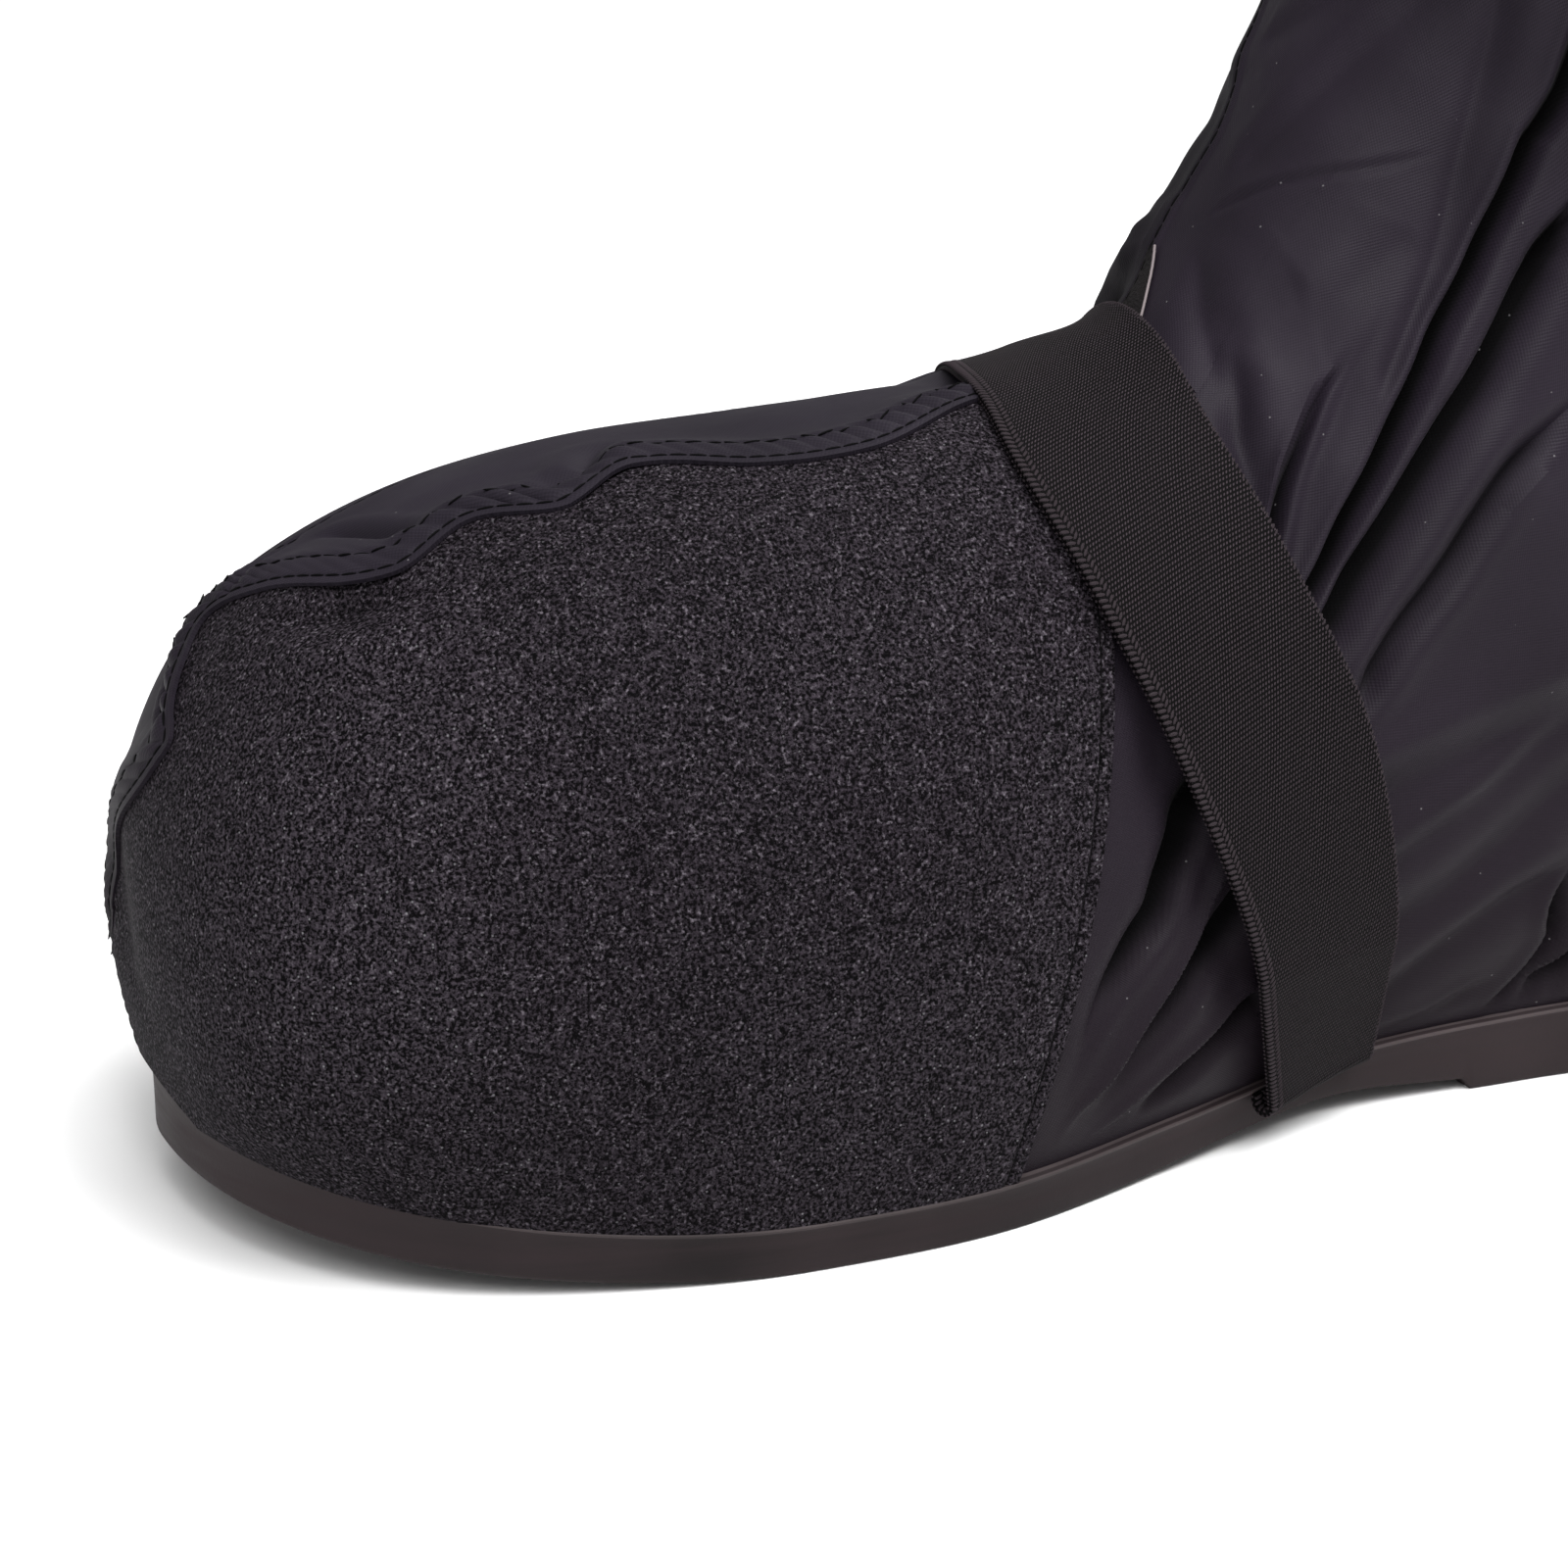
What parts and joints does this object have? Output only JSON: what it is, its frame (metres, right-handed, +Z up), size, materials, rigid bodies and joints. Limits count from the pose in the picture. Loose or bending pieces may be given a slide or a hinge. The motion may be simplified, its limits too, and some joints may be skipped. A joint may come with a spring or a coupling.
{
  "type": "overshoe",
  "caption": "Tall waterproof rain overshoe for a left boot: thin nylon upper with shaft, textured toe panels, elastic instep strap and a ribbed rubber sole.",
  "frame": {"origin": "centre of the bounding box on the floor plane, under the sole", "axes": "+X from heel to toe, +Y to the outer (lateral) side of this left shoe, +Z up from the floor"},
  "size_m": [0.3232, 0.1198, 0.336],
  "materials": {
    "black_rubber": "matte, faint streaks",
    "black_nylon": "coated twill with a soft sheen",
    "grip_textured_sheet": "fine granular grip texture",
    "black_elastic": "ribbed weave",
    "black_hook_tape": "short fuzzy pile"
  },
  "bodies": {
    "root": {"outsole": "black_rubber", "upper": "black_nylon", "toe_panel_lateral": "grip_textured_sheet", "toe_panel_medial": "grip_textured_sheet", "vamp_strip": "black_nylon", "instep_strap": "black_elastic", "front_flap": "black_nylon", "hook_tape": "black_hook_tape"}
  },
  "joints": []
}
